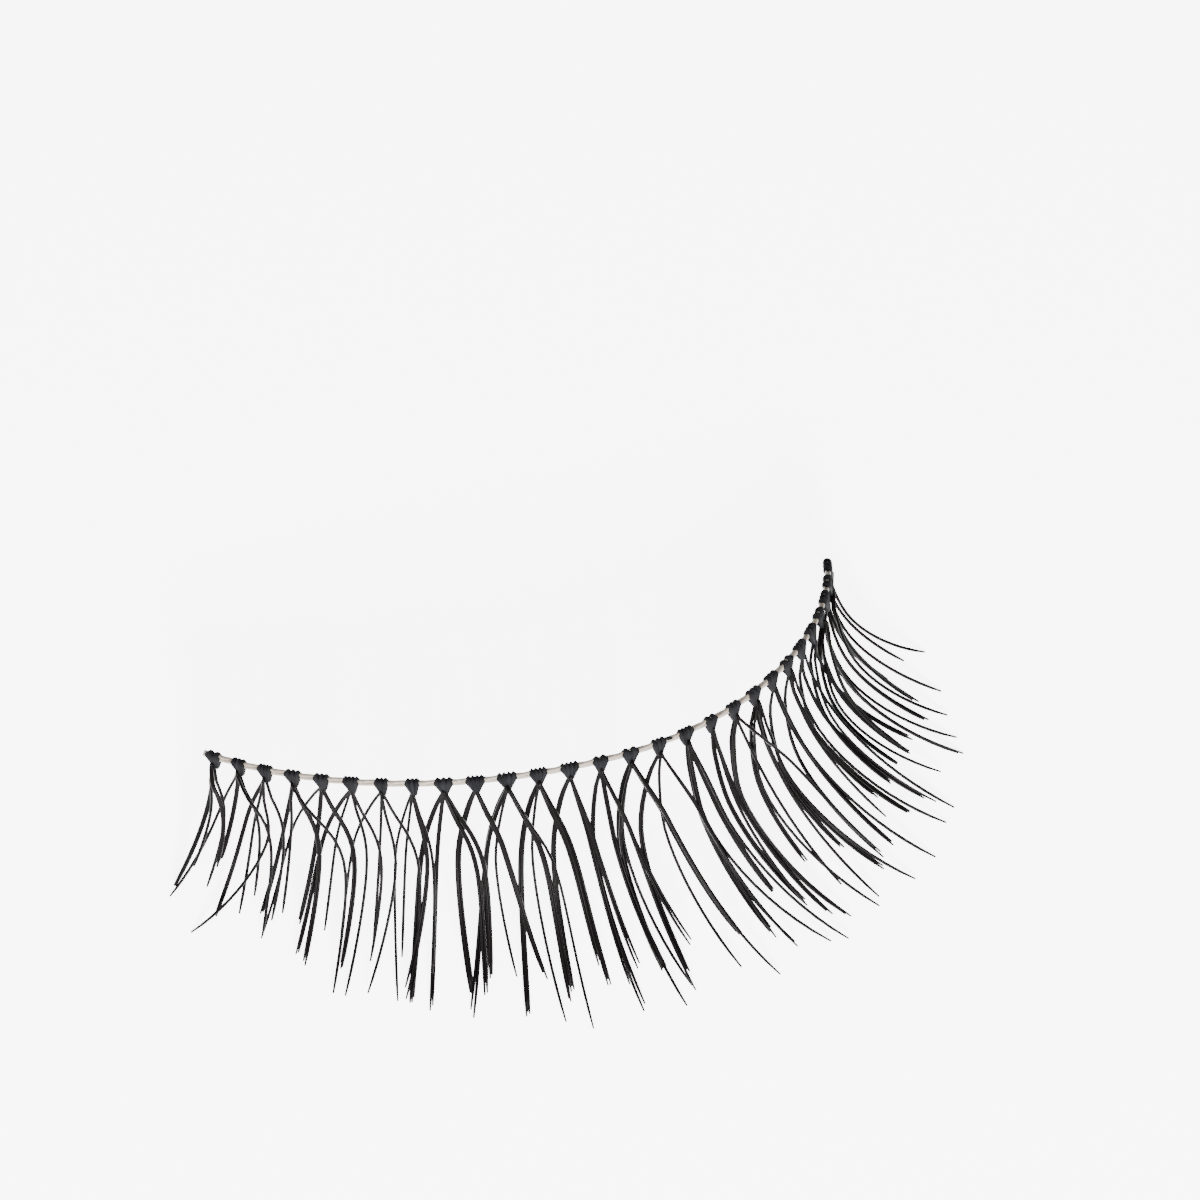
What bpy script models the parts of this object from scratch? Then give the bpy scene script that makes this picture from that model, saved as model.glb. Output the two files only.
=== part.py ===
"""A strip of false eyelashes, standing on its lash tips with the thread band on top.

The band is a fine thread that follows the curve of an eyelid. 28 small clusters of hair are
tied round it. Each cluster is a knot with a fan of tapered locks, which lean left and right,
cross the locks of the next knots, bend at an elbow and then flare outwards like a skirt.
"""
import math
from collections import namedtuple

import bmesh
import bpy
import numpy
from mathutils import Matrix, Vector

MM = 0.001
WELD_DISTANCE = 0.0005 * MM
SHARP_ANGLE = math.radians(50.0)
HAIR_COLOUR = (0.012, 0.011, 0.012)
HAIR_ROUGHNESS = 0.42
THREAD_COLOUR = (0.72, 0.62, 0.52)
THREAD_ROUGHNESS = 0.5

# Band: its length, its section and the bare end beyond the first and last knots
BAND_LENGTH = 32.5 * MM
BAND_HEIGHT = 0.18 * MM
BAND_THICKNESS = 0.14 * MM
BAND_END = 0.45 * MM
BAND_BORE_CLEARANCE = 0.04 * MM

# Stance: the middle of the band above the surface, and the slope of the plane it lies in
STAND_HEIGHT = 7.3 * MM
BAND_TILT = math.radians(20.0)
BAND_UPHILL = math.radians(-73.0)
BAND_START_HEADING = math.radians(-35.9)

# Knots
KNOT_WIDTH = 0.66 * MM
KNOT_DEPTH = 0.34 * MM
KNOT_ABOVE_BAND = 0.19 * MM
KNOT_BELOW_BAND = 0.50 * MM
KNOT_FOOT = 0.26 * MM
KNOT_SIDES = 10

# Lashes: the longest reach over the surface, the bend of every lash and its thickness
LASH_REACH = 7.2 * MM
LASH_CURL = math.radians(55.0)
HAIR_THICKNESS = 0.085 * MM
LOOSENESS = 1.1
LAYER_GAP = 0.25 * MM
FULL_LAYER_LEAN = 0.5
LAYER_RAMP = 3.0
ROOT_IN_KNOT = 0.50
LEAVES_KNOT = 0.80
ELBOW_SHARE = 0.33
ELBOW_POWER = 4.0
TOE_POWER = 1.3
LOCK_POINTS = 9
LOCK_POINT_CROWDING = 1.35
LOCK_FULL_SHARE = 0.45
LOCK_TIP_SHARE = 0.28

BandArc = namedtuple("BandArc", "length_share turn")
BAND_ARCS = (
    BandArc(0.49, math.radians(54.0)),
    BandArc(0.21, math.radians(34.5)),
    BandArc(0.30, math.radians(38.5)),
)

# Hem: how far the tips reach from the band, at a knot, as a share of LASH_REACH
Hem = namedtuple("Hem", "knot reach_share")
HEM = (
    Hem(-1, 0.36),
    Hem(1, 0.43),
    Hem(5, 0.58),
    Hem(8, 0.72),
    Hem(12, 0.85),
    Hem(16, 0.90),
    Hem(20, 1.00),
    Hem(24, 0.85),
    Hem(26, 0.65),
    Hem(28, 0.47),
    Hem(30, 0.36),
)

# Lock: lean is its sideways shift at the elbow and toe at its tip, in knot spacings along the
# strip, reach is its share of the way to the hem, and hairs is how many it holds
Lock = namedtuple("Lock", "lean toe reach hairs")
Knot = namedtuple("Knot", "width_share locks")
KNOTS = (
    Knot(1.10, (Lock(0.08, 0.00, 0.98, 2), Lock(0.92, 1.00, 0.80, 3))),
    Knot(0.98, (Lock(0.02, 0.05, 0.67, 3), Lock(1.25, 1.50, 0.72, 2))),
    Knot(0.98, (Lock(-0.60, -0.50, 1.00, 2), Lock(1.10, 1.20, 0.80, 2))),
    Knot(1.05, (Lock(-0.17, -0.20, 0.86, 3), Lock(1.30, 1.40, 0.96, 2))),
    Knot(0.98, (Lock(-1.02, -1.00, 0.96, 2), Lock(0.00, -0.05, 0.82, 3), Lock(1.45, 1.40, 0.90, 3))),
    Knot(1.00, (Lock(-0.92, -0.90, 0.96, 2), Lock(-0.45, -0.30, 0.80, 2),
                Lock(0.78, 0.65, 1.00, 2), Lock(1.28, 1.15, 0.82, 2))),
    Knot(0.86, (Lock(-0.95, -0.80, 0.83, 2), Lock(0.05, 0.15, 0.79, 2), Lock(1.42, 1.35, 0.90, 2))),
    Knot(0.88, (Lock(-0.55, -0.05, 1.00, 2), Lock(-0.18, -0.05, 0.80, 2),
                Lock(0.62, 0.15, 0.94, 2), Lock(0.80, 0.80, 0.82, 2))),
    Knot(1.12, (Lock(-0.76, -0.70, 1.00, 3), Lock(-0.22, -0.20, 1.01, 2), Lock(1.25, 1.25, 0.87, 4))),
    Knot(1.12, (Lock(-0.65, -0.20, 0.93, 5), Lock(1.02, 1.65, 0.82, 4))),
    Knot(1.18, (Lock(-0.80, -0.85, 0.91, 4), Lock(1.10, 1.20, 0.90, 4))),
    Knot(1.06, (Lock(-0.75, -0.85, 1.01, 4), Lock(0.98, 1.20, 0.89, 4))),
    Knot(1.12, (Lock(-0.80, -0.72, 0.91, 4), Lock(0.50, 0.80, 0.89, 3))),
    Knot(0.96, (Lock(-0.55, -0.10, 1.02, 2), Lock(0.12, 0.60, 0.88, 3), Lock(0.75, 1.35, 0.78, 2))),
    Knot(1.06, (Lock(-0.78, -0.45, 0.89, 4), Lock(0.92, 1.48, 0.86, 5))),
    Knot(0.94, (Lock(-1.18, -0.92, 0.93, 3), Lock(0.88, 1.30, 0.88, 2))),
    Knot(1.06, (Lock(-0.20, 0.20, 0.87, 4), Lock(0.36, 0.70, 0.78, 4))),
    Knot(0.92, (Lock(-0.28, 0.25, 0.85, 3), Lock(0.06, 0.55, 0.92, 2))),
    Knot(0.94, (Lock(-0.90, -0.25, 0.92, 4), Lock(0.14, 0.20, 0.82, 2))),
    Knot(1.00, (Lock(-1.20, -0.60, 0.95, 3), Lock(-0.32, -0.12, 0.80, 5))),
    Knot(1.00, (Lock(-1.25, -0.70, 0.92, 3), Lock(-0.08, -0.05, 0.90, 3))),
    Knot(1.05, (Lock(-1.55, -1.45, 0.90, 2), Lock(-0.35, 0.00, 0.88, 5))),
    Knot(1.05, (Lock(-1.52, -1.42, 0.76, 3), Lock(-0.62, -0.35, 0.92, 2))),
    Knot(1.00, (Lock(-1.86, -1.62, 0.84, 2), Lock(-0.38, 0.05, 0.80, 2))),
    Knot(1.05, (Lock(-1.52, -1.40, 0.80, 5), Lock(-2.15, -1.80, 0.86, 2))),
    Knot(1.10, (Lock(-1.80, -1.45, 1.03, 3),)),
    Knot(1.10, (Lock(-2.08, -2.05, 0.90, 2), Lock(-1.36, -1.42, 0.76, 5))),
    Knot(1.05, (Lock(-1.78, -1.85, 1.04, 2), Lock(-1.02, -1.20, 0.90, 2))),
)

KNOT_PITCH = (BAND_LENGTH - 2.0 * BAND_END) / (len(KNOTS) - 1)
MIDDLE_KNOT = 0.5 * (len(KNOTS) + 1)

# The band runs straight through a knot, this far to each side, and bends in the bare spans
KNOT_ROOM = 0.5 * KNOT_WIDTH * max(row.width_share for row in KNOTS)


def planar_band(knot):
    """Return the place along the band's flat curve, and its heading, at a knot number."""
    knotted_length = BAND_LENGTH - 2.0 * BAND_END
    remaining = (knot - 1) * KNOT_PITCH
    place = Vector((0.0, 0.0))
    heading = BAND_START_HEADING
    if remaining < 0.0:
        place += Vector((math.cos(heading), math.sin(heading))) * remaining
        return place, heading
    for index, arc in enumerate(BAND_ARCS):
        arc_length = arc.length_share * knotted_length
        radius = arc_length / arc.turn
        last = index == len(BAND_ARCS) - 1
        step = remaining if last else min(remaining, arc_length)
        turned = heading + step / radius
        place.x += radius * (math.sin(turned) - math.sin(heading))
        place.y -= radius * (math.cos(turned) - math.cos(heading))
        heading = turned
        remaining -= step
        if remaining <= 0.0:
            break
    return place, heading


def tilted_axes():
    """Return the two axes of the band's plane: the level one, and the one straight downhill."""
    uphill = Vector((math.cos(BAND_UPHILL), math.sin(BAND_UPHILL), 0.0))
    level = Vector((-uphill.y, uphill.x, 0.0))
    steep = uphill * math.cos(BAND_TILT) + Vector((0.0, 0.0, math.sin(BAND_TILT)))
    return level, -steep


def band_place(knot):
    """Return the band's centre and its direction at a knot number, in space."""
    level, across = tilted_axes()
    turn_back = math.atan2(level.y, level.x)
    middle, _ = planar_band(MIDDLE_KNOT)
    flat, heading = planar_band(knot)
    offset = flat - middle
    along = math.cos(turn_back) * offset.x + math.sin(turn_back) * offset.y
    aside = math.cos(turn_back) * offset.y - math.sin(turn_back) * offset.x
    place = level * along + across * aside + Vector((0.0, 0.0, STAND_HEIGHT))
    direction = level * math.cos(heading - turn_back) + across * math.sin(heading - turn_back)
    return place, direction.normalized()


def outward(knot):
    """Return the level direction in which the lashes flare at a knot number."""
    _, direction = band_place(knot)
    return Vector((direction.y, -direction.x, 0.0)).normalized()


def lash_arc(knot):
    """Return the radius of a full-length lash's bend and its dip below the level at the root."""
    place, _ = band_place(knot)
    knots = [row.knot for row in HEM]
    shares = [row.reach_share for row in HEM]
    reach = LASH_REACH * float(numpy.interp(knot, knots, shares))
    radius = math.hypot(reach, place.z) / (2.0 * math.sin(0.5 * LASH_CURL))
    return radius, math.atan2(place.z, reach) + 0.5 * LASH_CURL


def share_below_band(knot, depth):
    """Return what share of the way to the hem a depth below the band is."""
    radius, _ = lash_arc(knot)
    return depth / (radius * LASH_CURL)


def skirt_place(knot, share):
    """Return a place on the flared skirt of lashes, share of the way from band to hem."""
    place, _ = band_place(knot)
    radius, root_dip = lash_arc(knot)
    dip = root_dip - LASH_CURL * share
    out = radius * (math.sin(root_dip) - math.sin(dip))
    down = radius * (math.cos(dip) - math.cos(root_dip))
    return place + outward(knot) * out - Vector((0.0, 0.0, down))


def lock_place(knot, lock, share):
    """Return the centre of a lock, share of the way to the hem."""
    leaves = share_below_band(knot, LEAVES_KNOT * KNOT_BELOW_BAND)
    rise = max(0.0, (share - leaves) / (ELBOW_SHARE - leaves))
    eased = rise / (1.0 + rise ** ELBOW_POWER) ** (1.0 / ELBOW_POWER)
    past_elbow = max(0.0, (share - ELBOW_SHARE) / (lock.reach - ELBOW_SHARE)) ** TOE_POWER
    shift = lock.lean * eased + (lock.toe - lock.lean) * past_elbow
    side = max(-1.0, min(1.0, lock.lean / FULL_LAYER_LEAN))
    layer = side * LAYER_GAP * min(1.0, LAYER_RAMP * rise)
    return skirt_place(knot + shift, share) + outward(knot + shift) * layer


def lock_mesh(name, places, radii):
    """Return a mesh object of a six-sided lock through the places, closed at both ends."""
    curve = bpy.data.curves.new(name + "_path", "CURVE")
    curve.dimensions = "3D"
    curve.bevel_depth = 1.0
    curve.bevel_resolution = 1
    curve.use_fill_caps = True
    spline = curve.splines.new("POLY")
    spline.points.add(len(places) - 1)
    for point, place, radius in zip(spline.points, places, radii):
        point.co = (*place, 1.0)
        point.radius = radius
    return curve_to_mesh(name, curve)


def curve_to_mesh(name, curve):
    """Turn a curve into a mesh object with its end caps welded on."""
    source = bpy.data.objects.new(name + "_curve", curve)
    cutters.objects.link(source)
    graph = bpy.context.evaluated_depsgraph_get()
    mesh = bpy.data.meshes.new_from_object(source.evaluated_get(graph))
    work = bmesh.new()
    work.from_mesh(mesh)
    bmesh.ops.remove_doubles(work, verts=work.verts, dist=WELD_DISTANCE)
    bmesh.ops.recalc_face_normals(work, faces=work.faces)
    work.to_mesh(mesh)
    work.free()
    made = bpy.data.objects.new(name, mesh)
    made.matrix_world = source.matrix_world
    bpy.data.objects.remove(source)
    bpy.data.curves.remove(curve)
    cutters.objects.link(made)
    return made


def combine(target, other, operation):
    """Cut or join one mesh object with another."""
    modifier = target.modifiers.new(operation.lower(), "BOOLEAN")
    modifier.operation = operation
    modifier.solver = "EXACT"
    modifier.object = other
    graph = bpy.context.evaluated_depsgraph_get()
    mesh = bpy.data.meshes.new_from_object(target.evaluated_get(graph))
    target.modifiers.remove(modifier)
    target.data = mesh


def plain_material(name, colour, roughness):
    """Return a plain material for one piece."""
    material = bpy.data.materials.new(name)
    material.use_nodes = True
    shader = material.node_tree.nodes["Principled BSDF"]
    shader.inputs["Base Color"].default_value = (*colour, 1.0)
    shader.inputs["Roughness"].default_value = roughness
    return material


def band_curve(grow):
    """Return the band's curve, with its section grown by a clearance on every side."""
    half_height = 0.5 * BAND_HEIGHT + grow
    half_thickness = 0.5 * BAND_THICKNESS + grow
    section = bpy.data.curves.new("band_section", "CURVE")
    corners = ((1, 1), (-1, 1), (-1, -1), (1, -1))
    outline = section.splines.new("POLY")
    outline.points.add(len(corners) - 1)
    outline.use_cyclic_u = True
    for point, (side, top) in zip(outline.points, corners):
        point.co = (side * half_thickness, top * half_height, 0.0, 1.0)
    section_object = bpy.data.objects.new("band_section", section)
    section_object.hide_render = True
    section_object.display_type = "WIRE"
    cutters.objects.link(section_object)
    curve = bpy.data.curves.new("band_path", "CURVE")
    curve.dimensions = "3D"
    curve.twist_mode = "Z_UP"
    curve.bevel_mode = "OBJECT"
    curve.bevel_object = section_object
    curve.use_fill_caps = True
    end = (BAND_END + grow) / KNOT_PITCH
    room = KNOT_ROOM / KNOT_PITCH
    stops = [1.0 - end]
    for knot in range(1, len(KNOTS)):
        stops.append(knot + room)
        stops.append(knot + 1.0 - room)
    stops.append(len(KNOTS) + end)
    spline = curve.splines.new("POLY")
    spline.points.add(len(stops) - 1)
    for point, stop in zip(spline.points, stops):
        point.co = (*band_place(stop)[0], 1.0)
    return curve


def make_knot(name, number, width_share):
    """Make the tied knot: a wedge that is wide over the band and narrow where the hairs leave."""
    place, direction = band_place(number)
    foot_share = share_below_band(number, KNOT_BELOW_BAND)
    down = (skirt_place(number, foot_share) - place).normalized()
    depth_axis = direction.cross(down).normalized()
    down = depth_axis.cross(direction).normalized()
    height = KNOT_ABOVE_BAND + KNOT_BELOW_BAND
    half_width = 0.5 * KNOT_WIDTH * width_share
    work = bmesh.new()
    bmesh.ops.create_cone(
        work, cap_ends=True, segments=KNOT_SIDES, radius1=0.5 * KNOT_FOOT,
        radius2=half_width, depth=height)
    for vertex in work.verts:
        if vertex.co.z > 0.0:
            vertex.co.y *= 0.5 * KNOT_DEPTH / half_width
    centre = place + down * 0.5 * (KNOT_BELOW_BAND - KNOT_ABOVE_BAND)
    turn = Matrix((direction, -depth_axis, -down)).transposed().to_4x4()
    work.transform(Matrix.Translation(centre) @ turn)
    bmesh.ops.recalc_face_normals(work, faces=work.faces)
    mesh = bpy.data.meshes.new(name)
    work.to_mesh(mesh)
    work.free()
    knot = bpy.data.objects.new(name, mesh)
    strip.objects.link(knot)
    return knot


def make_lock(name, number, lock):
    """Make one tapered lock of hairs."""
    full = 0.5 * HAIR_THICKNESS * LOOSENESS * math.sqrt(lock.hairs)
    root = share_below_band(number, ROOT_IN_KNOT * KNOT_BELOW_BAND)
    places = []
    radii = []
    for index in range(LOCK_POINTS):
        walked = (index / (LOCK_POINTS - 1)) ** LOCK_POINT_CROWDING
        share = root + (lock.reach - root) * walked
        places.append(lock_place(number, lock, share))
        taper = max(0.0, (walked - LOCK_FULL_SHARE) / (1.0 - LOCK_FULL_SHARE))
        radii.append(full * (1.0 - (1.0 - LOCK_TIP_SHARE) * taper))
    return lock_mesh(name, places, radii)


def make_cluster(number, knot_row, bore):
    """Make a knot with its locks fused to it, bored for the band."""
    name = "lash_cluster_%02d" % number
    cluster = make_knot(name, number, knot_row.width_share)
    for index, lock in enumerate(knot_row.locks):
        piece = make_lock("lock_%02d_%d" % (number, index), number, lock)
        combine(cluster, piece, "UNION")
        bpy.data.objects.remove(piece)
    combine(cluster, bore, "DIFFERENCE")
    hair = plain_material("hair_%02d" % number, HAIR_COLOUR, HAIR_ROUGHNESS)
    cluster.data.materials.clear()
    cluster.data.materials.append(hair)
    cluster.data.shade_smooth()
    cluster.data.set_sharp_from_angle(angle=SHARP_ANGLE)
    return cluster


def make_band():
    """Make the thread band."""
    band = curve_to_mesh("band", band_curve(0.0))
    cutters.objects.unlink(band)
    strip.objects.link(band)
    thread = plain_material("band_thread", THREAD_COLOUR, THREAD_ROUGHNESS)
    band.data.materials.append(thread)
    return band


def rest_on_surface(pieces):
    """Hang the pieces on an empty so that the lowest tips rest at height zero, centred."""
    corners = [vertex.co for piece in pieces for vertex in piece.data.vertices]
    low = Vector([min(corner[axis] for corner in corners) for axis in range(3)])
    high = Vector([max(corner[axis] for corner in corners) for axis in range(3)])
    stand = bpy.data.objects.new("strip_stand", None)
    strip.objects.link(stand)
    stand.location = (-0.5 * (low.x + high.x), -0.5 * (low.y + high.y), -low.z)
    for piece in pieces:
        piece.parent = stand


for old in list(bpy.data.objects):
    bpy.data.objects.remove(old)
strip = bpy.data.collections.new("False Eyelash Strip")
cutters = bpy.data.collections.new("Cutters")
bpy.context.scene.collection.children.link(strip)
bpy.context.scene.collection.children.link(cutters)

band_bore = curve_to_mesh("band_bore", band_curve(BAND_BORE_CLEARANCE))
band_bore.hide_render = True
band_bore.display_type = "WIRE"
pieces = [make_band()]
for number, knot_row in enumerate(KNOTS, start=1):
    pieces.append(make_cluster(number, knot_row, band_bore))
rest_on_surface(pieces)
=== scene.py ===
"""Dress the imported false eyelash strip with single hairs, wound knots and a thread band.

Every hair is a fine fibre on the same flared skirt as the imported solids. Each knot is a fan of
strands that run up over the band and down behind it. The camera and the light come last.
"""
import math
import random
from collections import namedtuple

import bmesh
import bpy
import numpy
from mathutils import Matrix, Vector


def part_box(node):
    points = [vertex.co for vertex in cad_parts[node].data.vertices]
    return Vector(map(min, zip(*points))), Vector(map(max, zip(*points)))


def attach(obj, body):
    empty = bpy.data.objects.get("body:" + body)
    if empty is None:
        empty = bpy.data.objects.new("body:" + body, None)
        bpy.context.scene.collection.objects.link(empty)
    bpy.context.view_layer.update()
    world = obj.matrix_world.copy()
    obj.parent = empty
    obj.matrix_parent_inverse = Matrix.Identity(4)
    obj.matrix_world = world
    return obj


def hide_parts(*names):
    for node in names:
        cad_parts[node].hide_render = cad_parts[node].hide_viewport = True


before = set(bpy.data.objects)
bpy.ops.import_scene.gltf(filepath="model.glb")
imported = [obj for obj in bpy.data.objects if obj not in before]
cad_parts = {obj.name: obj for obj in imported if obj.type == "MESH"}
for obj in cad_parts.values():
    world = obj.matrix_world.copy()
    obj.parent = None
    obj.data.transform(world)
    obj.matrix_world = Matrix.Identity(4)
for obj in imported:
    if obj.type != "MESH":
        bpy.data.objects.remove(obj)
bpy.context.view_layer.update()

MM = 0.001

# Band, stance and lashes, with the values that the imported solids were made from
BAND_LENGTH = 32.5 * MM
BAND_END = 0.45 * MM
STAND_HEIGHT = 7.3 * MM
BAND_TILT = math.radians(20.0)
BAND_UPHILL = math.radians(-73.0)
BAND_START_HEADING = math.radians(-35.9)
BAND_SAMPLES = 120
LASH_REACH = 7.2 * MM
LASH_CURL = math.radians(55.0)
LAYER_GAP = 0.25 * MM
FULL_LAYER_LEAN = 0.5
LAYER_RAMP = 3.0
ELBOW_SHARE = 0.33
ELBOW_POWER = 4.0
TOE_POWER = 1.3

# Knots: the wedge that the fan of strands fills, and where the hairs start and leave it, as
# shares of its depth below the band
KNOT_WIDTH = 0.66 * MM
KNOT_DEPTH = 0.34 * MM
KNOT_ABOVE_BAND = 0.19 * MM
KNOT_BELOW_BAND = 0.50 * MM
KNOT_FOOT = 0.26 * MM
ROOT_IN_KNOT = 0.50
LEAVES_KNOT = 0.80

# Hairs: a synthetic lash fibre, even in thickness until close to its blunt tip. It is thicker here
# than the 0.085 mm of a real one, because a bright floor eats into the edges of a thin dark line.
# The crowding brings its rings closer together near the knot, where it turns aside.
HAIR_THICKNESS = 0.124 * MM
HAIR_SIDES = 6
HAIR_RINGS = 18
HAIR_CROWDING = 1.25
HAIR_FULL_SHARE = 0.90
HAIR_TIP_SHARE = 0.55
HAIR_TIP_POWER = 1.3

# Seats of the hairs in a lock, in hair thicknesses aside and out of its centre
SEATS = {
    1: ((0.0, 0.0),),
    2: ((-0.26, 0.05), (0.26, -0.05)),
    3: ((-0.32, 0.10), (0.32, 0.12), (0.0, -0.18)),
    4: ((-0.40, 0.05), (-0.05, 0.18), (0.40, 0.08), (0.05, -0.18)),
    5: ((-0.46, 0.10), (-0.05, 0.20), (0.46, 0.10), (-0.25, -0.18), (0.25, -0.22)),
}

# A lock leaves its knot tight, at a share of its seats, and soon opens to them
SEAT_SHARE_AT_ROOT = 0.45
SEAT_OPENING = 4.0

# How far a hair may differ from its lock: at the elbow and at the tip, in knot spacings, and how
# much shorter it may be, as a share of the lock's reach
LEAN_SCATTER = 0.008
TOE_SCATTER = 0.012
REACH_SCATTER = 0.06

# Strays lie out of the locks, the first this far and each next one a step more, in hair thicknesses
STRAY_DEPTH = 1.4
STRAY_STEP = 0.9

# Strands of a knot: the middle part of each bends over the band, and its two ends run down, one
# in front and one behind
STRAND_THICKNESS = 0.09 * MM
STRAND_VARIATION = (0.9, 1.12)
STRANDS_IN_FAN = 17
STRAND_RINGS = 14
STRAND_BEND_SHARE = 0.5
SEAT_SCATTER = 0.02

# Fan of strands, in shares of the knot: its height over the band, what its lumps add to its height
# and depth, the width of its foot, the depth that it loses on the way down, the power by which it
# narrows, and how far it runs past the foot, in strand thicknesses
FAN_HEIGHT = 0.90
LUMP_HEIGHT = 0.36
LUMP_DEPTH = 0.15
FAN_FOOT_WIDTH = 0.28
FAN_DEPTH_LOSS = 0.70
FAN_NARROWING_POWER = 0.9
FAN_PAST_FOOT = 0.2

# Core of a knot: the wedge inside the strands, scaled to the knot's foot, half width and depth
CORE_SIDES = 14
CORE_FOOT = 0.36
CORE_WIDTH = 0.9
CORE_DEPTH = 0.36

# Threads of the band: three thin ones that lie together and turn slowly about each other, on an
# orbit that is narrower than high
THREAD_THICKNESS = 0.15 * MM
THREAD_COUNT = 3
THREAD_ORBIT = 0.065 * MM
THREAD_ORBIT_WIDTH = 0.7
THREAD_TURNS = 9.0
THREAD_RINGS = 260
THREAD_SIDES = 8

# Wisp: a few short loose fibres that lie over the band between two knots. Each has its own start,
# in wisp lengths, and its own lift and shift to the front, in wisp heights. Its arch is the part
# of a half wave that starts at a share of it and spans another.
WISP_KNOT = 16.38
WISP_FIBRES = 7
WISP_LENGTH = 0.36 * MM
WISP_HEIGHT = 0.13 * MM
WISP_THICKNESS = 0.06 * MM
WISP_START = (-0.6, -0.3)
WISP_LIFT = (0.6, 1.1)
WISP_FORE = (-0.4, 0.9)
WISP_ARCH_START = 0.2
WISP_ARCH_SPAN = 0.7

# Seeds of the random draws. The hairs and the strands of a knot add its number to theirs.
HAIR_SEED = 1000
KNOT_SEED = 2000
WISP_SEED = 3000

BandArc = namedtuple("BandArc", "length_share turn")
BAND_ARCS = (
    BandArc(0.49, math.radians(54.0)),
    BandArc(0.21, math.radians(34.5)),
    BandArc(0.30, math.radians(38.5)),
)

# Hem: how far the tips reach from the band, at a knot, as a share of LASH_REACH
Hem = namedtuple("Hem", "knot reach_share")
HEM = (
    Hem(-1, 0.36),
    Hem(1, 0.43),
    Hem(5, 0.58),
    Hem(8, 0.72),
    Hem(12, 0.85),
    Hem(16, 0.90),
    Hem(20, 1.00),
    Hem(24, 0.85),
    Hem(26, 0.65),
    Hem(28, 0.47),
    Hem(30, 0.36),
)

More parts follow.
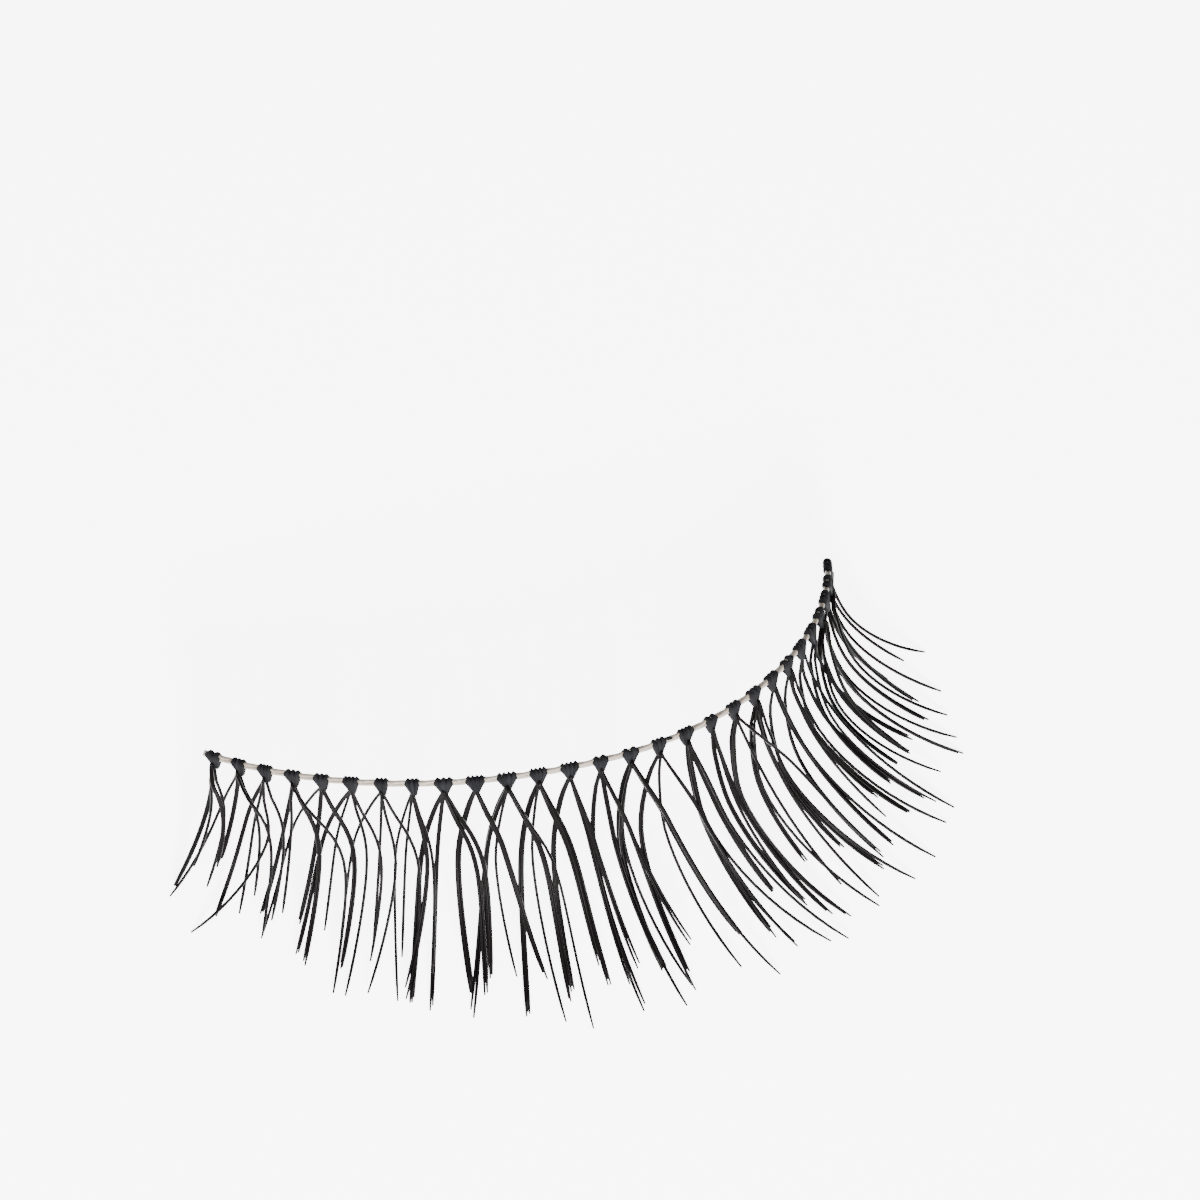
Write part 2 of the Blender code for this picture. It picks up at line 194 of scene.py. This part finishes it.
# Lock: lean is its sideways shift at the elbow and toe at its tip, in knot spacings along the
# strip, reach is its share of the way to the hem, and hairs is how many it holds.
# Knot: width_share scales its width, and lumps is how many its strands form. Its locks are those
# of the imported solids, half of them with fewer hairs and some moved a little. The strays, most of
# them single hairs, are only here, and the knots from the nineteenth on are wider here.
Lock = namedtuple("Lock", "lean toe reach hairs")
Knot = namedtuple("Knot", "width_share lumps locks strays")
KNOTS = (
    Knot(1.10, 2, (Lock(0.08, 0.00, 0.98, 2), Lock(0.92, 1.00, 0.80, 1)),
         (Lock(0.40, 0.38, 0.72, 1), Lock(1.05, 1.12, 0.64, 2))),
    Knot(0.98, 3, (Lock(0.02, 0.05, 0.67, 2), Lock(1.25, 1.50, 0.72, 1)),
         (Lock(-0.55, -1.00, 1.02, 1), Lock(1.80, 2.10, 0.86, 1))),
    Knot(0.98, 4, (Lock(-0.60, -0.50, 1.00, 2), Lock(1.10, 1.20, 0.80, 1)),
         (Lock(-0.18, 0.20, 0.86, 1), Lock(0.65, -0.85, 1.03, 1))),
    Knot(1.05, 3, (Lock(-0.17, -0.20, 0.86, 2), Lock(1.30, 1.40, 0.96, 2)),
         (Lock(0.25, 0.45, 0.74, 1), Lock(2.25, 2.35, 0.98, 1))),
    Knot(0.98, 3, (Lock(-1.02, -1.00, 0.96, 1), Lock(0.00, -0.05, 0.82, 2), Lock(1.45, 1.40, 0.90, 3)),
         ()),
    Knot(1.00, 4, (Lock(-0.92, -0.90, 0.96, 2), Lock(-0.45, -0.30, 0.80, 1),
                   Lock(0.78, 0.65, 1.00, 1), Lock(1.28, 1.15, 0.82, 1)), ()),
    Knot(0.86, 3, (Lock(-0.95, -0.80, 0.83, 1), Lock(0.05, 0.15, 0.79, 1), Lock(1.42, 1.35, 0.90, 1)),
         (Lock(0.70, 0.20, 0.94, 1),)),
    Knot(0.88, 3, (Lock(-0.55, -0.05, 1.00, 1), Lock(-0.18, -0.05, 0.80, 1),
                   Lock(0.62, 0.15, 0.94, 2), Lock(0.80, 0.80, 0.82, 1)), ()),
    Knot(1.12, 3, (Lock(-0.76, -0.70, 1.00, 3), Lock(-0.22, -0.20, 1.01, 2), Lock(1.35, 1.30, 0.82, 2)),
         (Lock(1.12, 1.15, 0.88, 2),)),
    Knot(1.12, 4, (Lock(-0.65, -0.20, 0.93, 5), Lock(1.02, 1.65, 0.82, 4)), ()),
    Knot(1.18, 4, (Lock(-0.80, -0.85, 0.91, 3), Lock(1.10, 1.20, 0.90, 4)),
         (Lock(-0.82, -1.20, 1.03, 2), Lock(-0.52, -0.05, 0.82, 1), Lock(1.40, 1.60, 0.98, 1))),
    Knot(1.06, 4, (Lock(-0.75, -0.85, 1.01, 4), Lock(0.98, 1.20, 0.89, 3)),
         (Lock(-0.42, 0.00, 1.00, 1), Lock(0.85, 1.05, 0.78, 2))),
    Knot(1.12, 4, (Lock(-0.80, -0.72, 0.91, 4), Lock(0.45, 0.72, 0.91, 2)),
         (Lock(0.60, 1.00, 0.82, 2),)),
    Knot(0.96, 2, (Lock(-0.55, -0.10, 1.02, 2), Lock(0.12, 0.60, 0.88, 3), Lock(0.75, 1.35, 0.78, 2)),
         (Lock(0.70, 1.05, 0.93, 1),)),
    Knot(1.06, 2, (Lock(-0.78, -0.45, 0.89, 4), Lock(0.92, 1.48, 0.80, 5)),
         (Lock(-0.70, 0.05, 0.95, 1), Lock(-0.82, -0.20, 1.01, 1), Lock(0.92, 1.80, 0.96, 1))),
    Knot(0.94, 3, (Lock(-1.18, -0.92, 0.93, 3), Lock(0.92, 1.18, 0.86, 1)),
         (Lock(-0.42, 0.20, 0.94, 1), Lock(0.84, 1.45, 0.90, 1))),
    Knot(1.06, 4, (Lock(-0.20, 0.20, 0.87, 4), Lock(0.36, 0.70, 0.71, 4)),
         (Lock(-0.25, 0.50, 0.92, 1), Lock(-0.20, 1.15, 0.97, 1), Lock(0.38, 1.45, 0.96, 1))),
    Knot(0.92, 2, (Lock(-0.28, 0.25, 0.85, 3), Lock(0.06, 0.55, 0.92, 2)),
         (Lock(-0.10, 0.20, 0.80, 1),)),
    Knot(1.04, 3, (Lock(-0.88, -0.30, 0.89, 3), Lock(0.14, 0.20, 0.82, 1)),
         (Lock(-0.94, -0.15, 0.98, 2), Lock(1.25, 1.45, 0.75, 1))),
    Knot(1.14, 3, (Lock(-1.22, -1.10, 0.72, 2), Lock(-0.32, -0.12, 0.74, 3)),
         (Lock(-1.20, -0.50, 0.98, 1), Lock(-0.45, -0.35, 0.94, 1), Lock(-0.30, 0.55, 0.98, 1))),
    Knot(1.16, 3, (Lock(-1.25, -0.70, 0.92, 2), Lock(-0.08, -0.05, 0.89, 2)),
         (Lock(-0.12, 0.35, 1.02, 1),)),
    Knot(1.24, 2, (Lock(-1.55, -1.45, 0.90, 2), Lock(-0.35, 0.00, 0.88, 3)),
         (Lock(-0.52, -0.55, 0.79, 1), Lock(-0.32, 0.30, 1.00, 1))),
    Knot(1.30, 3, (Lock(-1.42, -1.25, 0.76, 2), Lock(-0.62, -0.35, 0.92, 2)),
         (Lock(-0.28, -0.20, 1.02, 1),)),
    Knot(1.30, 3, (Lock(-1.70, -1.60, 0.78, 2), Lock(-0.38, 0.05, 0.80, 2)),
         (Lock(-1.60, -1.30, 0.95, 1),)),
    Knot(1.36, 2, (Lock(-1.52, -1.40, 0.80, 3), Lock(-2.15, -1.95, 0.78, 2)),
         (Lock(-2.10, -1.45, 0.93, 1), Lock(-1.00, -0.65, 1.02, 1), Lock(-1.58, -1.48, 0.74, 2))),
    Knot(1.42, 3, (Lock(-1.90, -1.65, 1.03, 1), Lock(-1.70, -1.20, 1.04, 1)),
         ()),
    Knot(1.46, 2, (Lock(-2.08, -2.05, 0.90, 2), Lock(-1.36, -1.38, 0.70, 3)),
         (Lock(-1.42, -1.62, 0.84, 2), Lock(-2.00, -1.65, 0.98, 1))),
    Knot(1.44, 3, (Lock(-1.78, -1.85, 1.04, 1), Lock(-1.02, -1.20, 0.85, 1)),
         (Lock(-1.00, -0.60, 1.02, 1),)),
)

KNOT_PITCH = (BAND_LENGTH - 2.0 * BAND_END) / (len(KNOTS) - 1)
MIDDLE_KNOT = 0.5 * (len(KNOTS) + 1)

# The two ends of the band, as knot numbers
FIRST_STOP = 1.0 - BAND_END / KNOT_PITCH
LAST_STOP = len(KNOTS) + BAND_END / KNOT_PITCH

# Floor: its half width and how strongly it is lit from below
FLOOR_REACH = 1500.0 * MM
FLOOR_GLOW = 6.3

# Lights: place in metres, side of the square in metres, and watts
Light = namedtuple("Light", "name place size power")
LIGHTS = (
    Light("overhead", (-0.12, -0.36, 0.50), 0.30, 2.0),
    Light("front", (0.05, -0.45, 0.21), 0.08, 9.0),
)
WORLD_STRENGTH = 0.25

# Camera: the surface point at the middle of the picture, and how it is looked at
AIM = Vector((1.264, 10.83, 0.0)) * MM
CAMERA_ELEVATION = math.radians(50.0)
CAMERA_DISTANCE = 350.0 * MM
CAMERA_CLIP = 10.0 * MM
MM_PER_PIXEL = 0.0385
IMAGE_PIXELS = 1200
SENSOR = 36.0


def planar_band(knot):
    """Return the place along the band's flat curve, and its heading, at a knot number."""
    knotted_length = BAND_LENGTH - 2.0 * BAND_END
    remaining = (knot - 1) * KNOT_PITCH
    place = Vector((0.0, 0.0))
    heading = BAND_START_HEADING
    if remaining < 0.0:
        place += Vector((math.cos(heading), math.sin(heading))) * remaining
        return place, heading
    for index, arc in enumerate(BAND_ARCS):
        arc_length = arc.length_share * knotted_length
        radius = arc_length / arc.turn
        last = index == len(BAND_ARCS) - 1
        step = remaining if last else min(remaining, arc_length)
        turned = heading + step / radius
        place.x += radius * (math.sin(turned) - math.sin(heading))
        place.y -= radius * (math.cos(turned) - math.cos(heading))
        heading = turned
        remaining -= step
        if remaining <= 0.0:
            break
    return place, heading


def tilted_axes():
    """Return the two axes of the band's plane: the level one, and the one straight downhill."""
    uphill = Vector((math.cos(BAND_UPHILL), math.sin(BAND_UPHILL), 0.0))
    level = Vector((-uphill.y, uphill.x, 0.0))
    steep = uphill * math.cos(BAND_TILT) + Vector((0.0, 0.0, math.sin(BAND_TILT)))
    return level, -steep


def band_place(knot):
    """Return the band's centre and its direction at a knot number, before it is set down."""
    level, across = tilted_axes()
    turn_back = math.atan2(level.y, level.x)
    middle, _ = planar_band(MIDDLE_KNOT)
    flat, heading = planar_band(knot)
    offset = flat - middle
    along = math.cos(turn_back) * offset.x + math.sin(turn_back) * offset.y
    aside = math.cos(turn_back) * offset.y - math.sin(turn_back) * offset.x
    place = level * along + across * aside + Vector((0.0, 0.0, STAND_HEIGHT))
    direction = level * math.cos(heading - turn_back) + across * math.sin(heading - turn_back)
    return place, direction.normalized()


def outward(knot):
    """Return the level direction in which the lashes flare at a knot number."""
    _, direction = band_place(knot)
    return Vector((direction.y, -direction.x, 0.0)).normalized()


def lash_arc(knot):
    """Return the radius of a full-length lash's bend and its dip below the level at the root."""
    place, _ = band_place(knot)
    knots = [row.knot for row in HEM]
    shares = [row.reach_share for row in HEM]
    reach = LASH_REACH * float(numpy.interp(knot, knots, shares))
    radius = math.hypot(reach, place.z) / (2.0 * math.sin(0.5 * LASH_CURL))
    return radius, math.atan2(place.z, reach) + 0.5 * LASH_CURL


def share_below_band(knot, depth):
    """Return what share of the way to the hem a depth below the band is."""
    radius, _ = lash_arc(knot)
    return depth / (radius * LASH_CURL)


def skirt_place(knot, share):
    """Return a place on the flared skirt of lashes, share of the way from band to hem."""
    place, _ = band_place(knot)
    radius, root_dip = lash_arc(knot)
    dip = root_dip - LASH_CURL * share
    out = radius * (math.sin(root_dip) - math.sin(dip))
    down = radius * (math.cos(dip) - math.cos(root_dip))
    return place + outward(knot) * out - Vector((0.0, 0.0, down))


def lock_place(knot, lock, share, aside=0.0, depth=0.0):
    """Return a place in a lock, share of the way to the hem, aside and out of its centre."""
    leaves = share_below_band(knot, LEAVES_KNOT * KNOT_BELOW_BAND)
    rise = max(0.0, (share - leaves) / (ELBOW_SHARE - leaves))
    eased = rise / (1.0 + rise ** ELBOW_POWER) ** (1.0 / ELBOW_POWER)
    past_elbow = max(0.0, (share - ELBOW_SHARE) / (lock.reach - ELBOW_SHARE)) ** TOE_POWER
    shift = lock.lean * eased + (lock.toe - lock.lean) * past_elbow + aside / KNOT_PITCH
    side = max(-1.0, min(1.0, lock.lean / FULL_LAYER_LEAN))
    layer = side * LAYER_GAP * min(1.0, LAYER_RAMP * rise) + depth
    return skirt_place(knot + shift, share) + outward(knot + shift) * layer


def set_down():
    """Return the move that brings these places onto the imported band."""
    low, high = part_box("band")
    packed_middle = 0.5 * (Vector(low) + Vector(high))
    stops = numpy.linspace(FIRST_STOP, LAST_STOP, BAND_SAMPLES)
    places = [band_place(float(stop))[0] for stop in stops]
    corners = []
    for pick in (min, max):
        corners.append(Vector([pick(place[axis] for place in places) for axis in range(3)]))
    return packed_middle - 0.5 * (corners[0] + corners[1])


STAND = set_down()


def straight_fibre(sides, rings):
    """Return the mesh of an upright fibre of radius one, with its rings one apart."""
    work = bmesh.new()
    bmesh.ops.create_cone(work, cap_ends=True, segments=sides, radius1=1.0, radius2=1.0, depth=rings)
    bmesh.ops.translate(work, verts=work.verts, vec=(0.0, 0.0, 0.5 * rings))
    upright = [edge for edge in work.edges if abs(edge.verts[0].co.z - edge.verts[1].co.z) > 0.5 * rings]
    bmesh.ops.subdivide_edges(work, edges=upright, cuts=rings - 1, use_grid_fill=True)
    bmesh.ops.recalc_face_normals(work, faces=work.faces)
    for face in work.faces:
        face.smooth = True
    mesh = bpy.data.meshes.new("straight_fibre")
    work.to_mesh(mesh)
    work.free()
    return mesh


def path_frames(places, first_side):
    """Return a side and an up direction at each place of a path, without any twist."""
    frames = []
    side = first_side.copy()
    for index in range(len(places)):
        before = places[max(0, index - 1)]
        after = places[min(len(places) - 1, index + 1)]
        tangent = (after - before).normalized()
        side = (side - tangent * side.dot(tangent)).normalized()
        frames.append((side, tangent.cross(side)))
    return frames


def add_fibre(work, straight, places, radii, first_side, tone):
    """Add a copy of the straight fibre to a mesh in work, bent along the places."""
    along = work.verts.layers.float["along"]
    strand = work.verts.layers.float["strand"]
    frames = path_frames(places, first_side)
    earlier = set(work.verts)
    work.from_mesh(straight)
    for vertex in [vertex for vertex in work.verts if vertex not in earlier]:
        ring = round(vertex.co.z)
        side, up = frames[ring]
        vertex.co = places[ring] + (side * vertex.co.x + up * vertex.co.y) * radii[ring]
        vertex[along] = ring / (len(places) - 1)
        vertex[strand] = tone


def fibre_work():
    """Return an empty mesh in work with room for the two values that hair materials read."""
    work = bmesh.new()
    work.verts.layers.float.new("along")
    work.verts.layers.float.new("strand")
    return work


def finish_piece(name, work, material, slot, *nodes):
    """Turn a mesh in work into a piece that rides on the strip and may stand for CAD nodes."""
    mesh = bpy.data.meshes.new(name)
    work.to_mesh(mesh)
    work.free()
    mesh.materials.append(material)
    piece = bpy.data.objects.new(name, mesh)
    bpy.context.scene.collection.objects.link(piece)
    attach(piece, "root")
    if nodes:
        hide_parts(*nodes)


def linear(hex_colour):
    """Return the linear colour of an sRGB hex value."""
    channels = [int(hex_colour[place:place + 2], 16) / 255.0 for place in (1, 3, 5)]
    curved = [c / 12.92 if c <= 0.04045 else ((c + 0.055) / 1.055) ** 2.4 for c in channels]
    return (*curved, 1.0)


def node(tree, kind, settings=None, inputs=None):
    """Add a node with its settings, and set or link its inputs."""
    made = tree.nodes.new(kind)
    for key, value in (settings or {}).items():
        setattr(made, key, value)
    for key, value in (inputs or {}).items():
        if isinstance(value, bpy.types.NodeSocket):
            tree.links.new(value, made.inputs[key])
        else:
            made.inputs[key].default_value = value
    return made


def new_material(name):
    """Return a new node material, its tree and its Principled shader."""
    material = bpy.data.materials.new(name)
    material.use_nodes = True
    tree = material.node_tree
    return material, tree, tree.nodes["Principled BSDF"]


def two_colours(tree, factor, low, high):
    """Return a colour that runs from one hex value to another."""
    mix = node(tree, "ShaderNodeMix", {"data_type": "RGBA"}, {"Factor": factor})
    start, end = [socket for socket in mix.inputs if socket.type == "RGBA"]
    start.default_value = linear(low)
    end.default_value = linear(high)
    return next(socket for socket in mix.outputs if socket.type == "RGBA")


def add_grain(tree, shader, spacing, detail, strength, height):
    """Give a shader a bump of fine noise, and return the noise."""
    place = node(tree, "ShaderNodeTexCoord")
    noise = node(tree, "ShaderNodeTexNoise", {}, {
        "Vector": place.outputs["Object"], "Scale": 1.0 / spacing, "Detail": detail})
    bump = node(tree, "ShaderNodeBump", {}, {
        "Height": noise.outputs["Fac"], "Strength": strength, "Distance": height})
    tree.links.new(bump.outputs["Normal"], shader.inputs["Normal"])
    return noise.outputs["Fac"]


def drawn_pbt_hair():
    """PBT lash fibre, melt drawn and dyed in the mass: near black, smooth and barely glossy."""
    material, tree, shader = new_material("drawn_pbt_hair")
    strand = node(tree, "ShaderNodeAttribute", {"attribute_name": "strand"})
    along = node(tree, "ShaderNodeAttribute", {"attribute_name": "along"})
    colour = two_colours(tree, strand.outputs["Fac"], "#040303", "#0a0808")
    tree.links.new(colour, shader.inputs["Base Color"])
    rough = node(tree, "ShaderNodeMapRange", {}, {
        "Value": along.outputs["Fac"], "To Min": 0.30, "To Max": 0.40})
    tree.links.new(rough.outputs["Result"], shader.inputs["Roughness"])
    add_grain(tree, shader, spacing=0.05 * MM, detail=2.0, strength=0.15, height=0.002 * MM)
    shader.inputs["IOR"].default_value = 1.57
    shader.inputs["Specular IOR Level"].default_value = 0.035
    return material


def wound_hair_knot():
    """The same fibre wound tight and set with a trace of glue: charcoal, matte and rough."""
    material, tree, shader = new_material("wound_hair_knot")
    strand = node(tree, "ShaderNodeAttribute", {"attribute_name": "strand"})
    colour = two_colours(tree, strand.outputs["Fac"], "#08080a", "#151517")
    tree.links.new(colour, shader.inputs["Base Color"])
    add_grain(tree, shader, spacing=0.04 * MM, detail=3.0, strength=0.35, height=0.01 * MM)
    shader.inputs["Roughness"].default_value = 0.7
    shader.inputs["IOR"].default_value = 1.57
    shader.inputs["Specular IOR Level"].default_value = 0.05
    return material


def twisted_nylon_thread():
    """Fine spun nylon: beige, slightly see-through and uneven, so it looks grey against white."""
    material, tree, shader = new_material("twisted_nylon_thread")
    fibres = add_grain(tree, shader, spacing=0.12 * MM, detail=3.0, strength=0.4, height=0.01 * MM)
    colour = two_colours(tree, fibres, "#4e463f", "#a09385")
    tree.links.new(colour, shader.inputs["Base Color"])
    shader.inputs["Roughness"].default_value = 0.5
    shader.inputs["Transmission Weight"].default_value = 0.1
    shader.inputs["IOR"].default_value = 1.53
    return material


def lit_acrylic():
    """Matte white acrylic of a light table, lit evenly from below: a bright, nearly white floor."""
    material, _, shader = new_material("lit_acrylic")
    shader.inputs["Base Color"].default_value = linear("#f6f6f6")
    shader.inputs["Roughness"].default_value = 0.9
    shader.inputs["Emission Color"].default_value = (1.0, 1.0, 1.0, 1.0)
    shader.inputs["Emission Strength"].default_value = FLOOR_GLOW
    return material


def hair_walk():
    """Return how far along a hair each of its rings is."""
    return [(ring / HAIR_RINGS) ** HAIR_CROWDING for ring in range(HAIR_RINGS + 1)]


def hair_radii():
    """Return the radius of a hair at each ring, even at first and then drawn in to its tip."""
    radii = []
    for walked in hair_walk():
        taper = max(0.0, (walked - HAIR_FULL_SHARE) / (1.0 - HAIR_FULL_SHARE)) ** HAIR_TIP_POWER
        radii.append(0.5 * HAIR_THICKNESS * (1.0 - (1.0 - HAIR_TIP_SHARE) * taper))
    return radii


def add_lock(work, straight, knot, lock, chance, lock_depth):
    """Add the single hairs of a lock, packed side by side, which end one after another."""
    root = share_below_band(knot, ROOT_IN_KNOT * KNOT_BELOW_BAND)
    _, direction = band_place(knot)
    for aside_seat, out_seat in SEATS[lock.hairs]:
        toe = lock.toe + chance.uniform(-TOE_SCATTER, TOE_SCATTER)
        lean = lock.lean + chance.uniform(-LEAN_SCATTER, LEAN_SCATTER)
        shorter = chance.uniform(0.0, REACH_SCATTER) if lock.hairs > 1 else 0.0
        own = Lock(lean, toe, lock.reach * (1.0 - shorter), 1)
        places = []
        for walked in hair_walk():
            share = root + (own.reach - root) * walked
            spread = min(1.0, SEAT_SHARE_AT_ROOT + SEAT_OPENING * walked)
            aside = aside_seat * HAIR_THICKNESS * spread
            depth = (out_seat * HAIR_THICKNESS + lock_depth) * spread
            places.append(lock_place(knot, own, share, aside, depth) + STAND)
        add_fibre(work, straight, places, hair_radii(), direction, chance.random())


def make_hairs(number, row, straight, material):
    """Make all the single hairs of one knot as one piece."""
    chance = random.Random(HAIR_SEED + number)
    work = fibre_work()
    for lock in row.locks:
        add_lock(work, straight, number, lock, chance, 0.0)
    for index, lock in enumerate(row.strays):
        depth = (STRAY_DEPTH + STRAY_STEP * index) * HAIR_THICKNESS
        add_lock(work, straight, number, lock, chance, depth)
    name = "lash_hairs_%02d" % number
    finish_piece(name, work, material, "lash_hair", "lash_cluster_%02d" % number)


def knot_axes(number):
    """Return a knot's place and its three axes: along the band, to the front and up."""
    place, direction = band_place(number)
    foot_share = share_below_band(number, KNOT_BELOW_BAND)
    down = (skirt_place(number, foot_share) - place).normalized()
    front = down.cross(direction).normalized()
    up = direction.cross(front).normalized() * -1.0
    return place + STAND, direction, front, up


def add_knot_core(work, half_width, axes):
    """Add the dark wedge that fills a knot behind its strands."""
    place, along_band, front, up = axes
    made = bmesh.ops.create_cone(
        work, cap_ends=True, segments=CORE_SIDES, radius1=CORE_FOOT * KNOT_FOOT,
        radius2=CORE_WIDTH * half_width,
        depth=KNOT_ABOVE_BAND + KNOT_BELOW_BAND - STRAND_THICKNESS)
    verts = made["verts"]
    for vertex in verts:
        if vertex.co.z > 0.0:
            vertex.co.y *= CORE_DEPTH * KNOT_DEPTH / half_width
        vertex.co.z -= 0.5 * (KNOT_BELOW_BAND - KNOT_ABOVE_BAND + STRAND_THICKNESS)
    turn = Matrix((along_band, front, up)).transposed().to_4x4()
    bmesh.ops.transform(work, matrix=Matrix.Translation(place) @ turn, verts=verts)


def add_fan_strand(work, straight, axes, half_width, lumps, seat, chance):
    """Add one strand that runs up the front of a knot, over the band and down behind it."""
    place, along_band, front, up = axes
    thickness = STRAND_THICKNESS * chance.uniform(*STRAND_VARIATION)
    lump = math.cos(math.pi * lumps * (seat + 1.0) - math.pi)
    over = (KNOT_ABOVE_BAND - 0.5 * thickness) * (FAN_HEIGHT + LUMP_HEIGHT * lump)
    fore = 0.5 * (KNOT_DEPTH - thickness) * (1.0 + LUMP_DEPTH * lump)
    top_aside = seat * (half_width - 0.5 * thickness)
    foot_aside = seat * FAN_FOOT_WIDTH * KNOT_FOOT
    half = STRAND_RINGS // 2
    places = []
    for ring in range(STRAND_RINGS + 1):
        turn = (ring - half) / half
        if abs(turn) < STRAND_BEND_SHARE:
            angle = 0.5 * math.pi * turn / STRAND_BEND_SHARE
            depth = fore * math.sin(-angle)
            height = over * math.cos(angle)
            aside = top_aside
        else:
            fall = (abs(turn) - STRAND_BEND_SHARE) / (1.0 - STRAND_BEND_SHARE)
            height = -fall * (KNOT_BELOW_BAND + FAN_PAST_FOOT * thickness)
            side = 1.0 if turn < 0.0 else -1.0
            depth = side * fore * (1.0 - FAN_DEPTH_LOSS * fall)
            aside = top_aside + (foot_aside - top_aside) * fall ** FAN_NARROWING_POWER
        places.append(place + along_band * aside + front * depth + up * height)
    radii = [0.5 * thickness] * (STRAND_RINGS + 1)
    add_fibre(work, straight, places, radii, along_band, chance.random())


def make_knot(number, row, straight, material):
    """Make one knot: its dark core and the fan of strands over the band."""
    chance = random.Random(KNOT_SEED + number)
    axes = knot_axes(number)
    half_width = 0.5 * KNOT_WIDTH * row.width_share
    work = fibre_work()
    add_knot_core(work, half_width, axes)
    for index in range(STRANDS_IN_FAN):
        seat = -1.0 + 2.0 * index / (STRANDS_IN_FAN - 1) + chance.uniform(-SEAT_SCATTER, SEAT_SCATTER)
        add_fan_strand(work, straight, axes, half_width, row.lumps, seat, chance)
    bmesh.ops.recalc_face_normals(work, faces=work.faces)
    name = "lash_knot_%02d" % number
    finish_piece(name, work, material, "lash_hair", "lash_cluster_%02d" % number)


def make_thread(index, straight, material):
    """Make one thread of the band, turning slowly about the others."""
    work = fibre_work()
    places = []
    for ring in range(THREAD_RINGS + 1):
        share = ring / THREAD_RINGS
        knot = FIRST_STOP + (LAST_STOP - FIRST_STOP) * share
        place, direction = band_place(knot)
        side = direction.cross(Vector((0.0, 0.0, 1.0))).normalized()
        up = side.cross(direction)
        turn = 2.0 * math.pi * (THREAD_TURNS * share + index / THREAD_COUNT)
        orbit = side * math.cos(turn) * THREAD_ORBIT_WIDTH + up * math.sin(turn)
        places.append(place + STAND + orbit * THREAD_ORBIT)
    radii = [0.5 * THREAD_THICKNESS] * (THREAD_RINGS + 1)
    add_fibre(work, straight, places, radii, Vector((0.0, 0.0, 1.0)), index / THREAD_COUNT)
    finish_piece("band_thread_%d" % (index + 1), work, material, "band_thread", "band")


def make_wisp(straight, material):
    """Lay the wisp of short loose fibres over the band."""
    chance = random.Random(WISP_SEED)
    work = fibre_work()
    middle, along_band = band_place(WISP_KNOT)
    front = outward(WISP_KNOT)
    for _ in range(WISP_FIBRES):
        start = chance.uniform(*WISP_START) * WISP_LENGTH
        lift = chance.uniform(*WISP_LIFT) * WISP_HEIGHT
        fore = chance.uniform(*WISP_FORE) * WISP_HEIGHT
        places = []
        for ring in range(STRAND_RINGS + 1):
            walked = ring / STRAND_RINGS
            arch = math.sin(math.pi * (WISP_ARCH_START + WISP_ARCH_SPAN * walked))
            offset = along_band * (start + walked * WISP_LENGTH) + front * fore * arch
            places.append(middle + STAND + offset + Vector((0.0, 0.0, lift * arch)))
        radii = [0.5 * WISP_THICKNESS] * (STRAND_RINGS + 1)
        add_fibre(work, straight, places, radii, front, chance.random())
    finish_piece("band_wisp", work, material, "lash_hair")


def make_floor(material):
    """Lay the pale floor under the strip."""
    work = bmesh.new()
    bmesh.ops.create_grid(work, x_segments=1, y_segments=1, size=FLOOR_REACH)
    mesh = bpy.data.meshes.new("floor")
    work.to_mesh(mesh)
    work.free()
    mesh.materials.append(material)
    floor = bpy.data.objects.new("floor", mesh)
    bpy.context.scene.collection.objects.link(floor)


def set_camera():
    """Place the camera as the photograph was taken."""
    camera_data = bpy.data.cameras.new("camera")
    camera_data.sensor_width = SENSOR
    camera_data.lens = SENSOR * CAMERA_DISTANCE / (MM_PER_PIXEL * MM * IMAGE_PIXELS)
    camera_data.clip_start = CAMERA_CLIP
    camera = bpy.data.objects.new("camera", camera_data)
    back = Vector((0.0, -math.cos(CAMERA_ELEVATION), math.sin(CAMERA_ELEVATION)))
    camera.location = AIM + back * CAMERA_DISTANCE
    camera.rotation_euler = (math.radians(90.0) - CAMERA_ELEVATION, 0.0, 0.0)
    bpy.context.scene.collection.objects.link(camera)
    bpy.context.scene.camera = camera


def add_light(row):
    """Add a square soft light that faces the strip."""
    light_data = bpy.data.lights.new(row.name, "AREA")
    light_data.size = row.size
    light_data.energy = row.power
    light = bpy.data.objects.new(row.name, light_data)
    light.location = row.place
    light.rotation_euler = (-Vector(row.place)).to_track_quat("-Z", "Y").to_euler()
    bpy.context.scene.collection.objects.link(light)


def set_light():
    """Light the strip evenly from above, with a low light in front that glints on the bends."""
    world = bpy.data.worlds.new("studio")
    world.use_nodes = True
    background = world.node_tree.nodes["Background"]
    background.inputs["Color"].default_value = (1.0, 1.0, 1.0, 1.0)
    background.inputs["Strength"].default_value = WORLD_STRENGTH
    bpy.context.scene.world = world
    for row in LIGHTS:
        add_light(row)


hair = drawn_pbt_hair()
knot_hair = wound_hair_knot()
nylon = twisted_nylon_thread()
straight_hair = straight_fibre(HAIR_SIDES, HAIR_RINGS)
straight_strand = straight_fibre(HAIR_SIDES, STRAND_RINGS)
straight_thread = straight_fibre(THREAD_SIDES, THREAD_RINGS)
for number, row in enumerate(KNOTS, start=1):
    make_hairs(number, row, straight_hair, hair)
    make_knot(number, row, straight_strand, knot_hair)
for index in range(THREAD_COUNT):
    make_thread(index, straight_thread, nylon)
make_wisp(straight_strand, knot_hair)
make_floor(lit_acrylic())
set_camera()
set_light()
